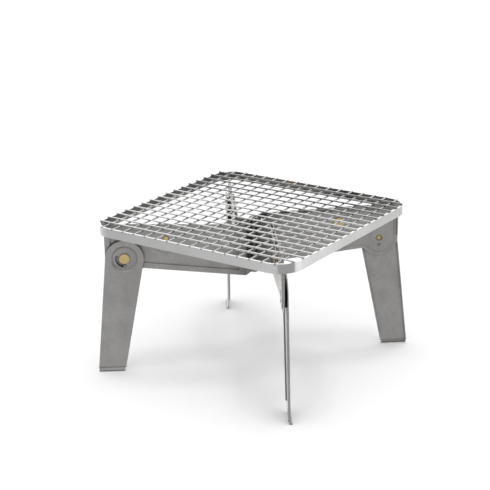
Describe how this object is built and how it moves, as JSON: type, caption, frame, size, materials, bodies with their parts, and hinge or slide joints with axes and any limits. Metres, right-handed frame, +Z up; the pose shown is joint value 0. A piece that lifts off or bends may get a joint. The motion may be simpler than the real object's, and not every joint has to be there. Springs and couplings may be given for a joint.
{
  "type": "folding campfire grate stand",
  "caption": "Folding cross-shaped sheet-metal campfire stand on splayed folding legs, carrying a loose square wire cooking grate with a flat-bar rim and rounded corners.",
  "frame": {"origin": "on the ground under the hub, at the middle of the footprint", "axes": "+Z up; +X and +Y along the sides of the square grate, with the front and right arms on the +X side"},
  "size_m": [0.3496, 0.3496, 0.2342],
  "materials": {
    "grate_steel": "bright satin stainless wire and flat bar",
    "arm_sheet": "satin tumbled stainless sheet, faintly mottled",
    "leg_sheet": "satin tumbled stainless sheet, faintly mottled",
    "pin_steel": "plain turned steel",
    "rivet_brass": "satin brass"
  },
  "bodies": {
    "frame": {"hub_pin": "pin_steel", "hub_washer_low": "pin_steel", "hub_washer_high": "pin_steel", "arm_left": "arm_sheet", "arm_front": "arm_sheet", "arm_right": "arm_sheet", "arm_rear": "arm_sheet", "leg_rivet_left": "rivet_brass", "leg_rivet_front": "rivet_brass", "leg_rivet_right": "rivet_brass", "leg_rivet_rear": "rivet_brass", "leg_spacer_left": "pin_steel", "leg_spacer_front": "pin_steel", "leg_spacer_right": "pin_steel", "leg_spacer_rear": "pin_steel", "stop_pin_left": "pin_steel", "stop_pin_front": "pin_steel", "stop_pin_right": "pin_steel", "stop_pin_rear": "pin_steel", "bar_rivet_left": "rivet_brass", "bar_rivet_front": "rivet_brass", "bar_rivet_right": "rivet_brass", "bar_rivet_rear": "rivet_brass", "bar_spacer_left": "pin_steel", "bar_spacer_front": "pin_steel", "bar_spacer_right": "pin_steel", "bar_spacer_rear": "pin_steel"},
    "leg_left": {"leg_left": "leg_sheet"},
    "leg_front": {"leg_front": "leg_sheet"},
    "leg_right": {"leg_right": "leg_sheet"},
    "leg_rear": {"leg_rear": "leg_sheet"},
    "swing_bar_left": {"swing_bar_left": "arm_sheet"},
    "swing_bar_front": {"swing_bar_front": "arm_sheet"},
    "swing_bar_right": {"swing_bar_right": "arm_sheet"},
    "swing_bar_rear": {"swing_bar_rear": "arm_sheet"},
    "grate": {"grate_rim": "grate_steel", "grate_lower_wires": "grate_steel", "grate_upper_wires": "grate_steel"}
  },
  "joints": [
    {"name": "leg_left_fold", "type": "hinge", "parent": "frame", "child": "leg_left", "pos_m": [-0.13436, -0.14152, 0.1775], "axis": [0.6157, -0.788, 0], "range_deg": [0, 105]},
    {"name": "leg_front_fold", "type": "hinge", "parent": "frame", "child": "leg_front", "pos_m": [0.14152, -0.13436, 0.1775], "axis": [0.788, 0.6157, 0], "range_deg": [0, 105]},
    {"name": "leg_right_fold", "type": "hinge", "parent": "frame", "child": "leg_right", "pos_m": [0.13436, 0.14152, 0.1775], "axis": [-0.6157, 0.788, 0], "range_deg": [0, 105]},
    {"name": "leg_rear_fold", "type": "hinge", "parent": "frame", "child": "leg_rear", "pos_m": [-0.14152, 0.13436, 0.1775], "axis": [-0.788, -0.6157, 0], "range_deg": [0, 105]},
    {"name": "swing_bar_left_swing", "type": "hinge", "parent": "frame", "child": "swing_bar_left", "pos_m": [-0.08919, -0.09862, 0.205], "axis": [-0.6157, 0.788, 0], "range_deg": [0, 90]},
    {"name": "swing_bar_front_swing", "type": "hinge", "parent": "frame", "child": "swing_bar_front", "pos_m": [0.09862, -0.08919, 0.205], "axis": [-0.788, -0.6157, 0], "range_deg": [0, 90]},
    {"name": "swing_bar_right_swing", "type": "hinge", "parent": "frame", "child": "swing_bar_right", "pos_m": [0.08919, 0.09862, 0.205], "axis": [0.6157, -0.788, 0], "range_deg": [0, 90]},
    {"name": "swing_bar_rear_swing", "type": "hinge", "parent": "frame", "child": "swing_bar_rear", "pos_m": [-0.09862, 0.08919, 0.205], "axis": [0.788, 0.6157, 0], "range_deg": [0, 90]},
    {"name": "grate_lift", "type": "slide", "parent": "frame", "child": "grate", "axis": [0, 0, 1], "range_m": [0, 0.12]}
  ]
}
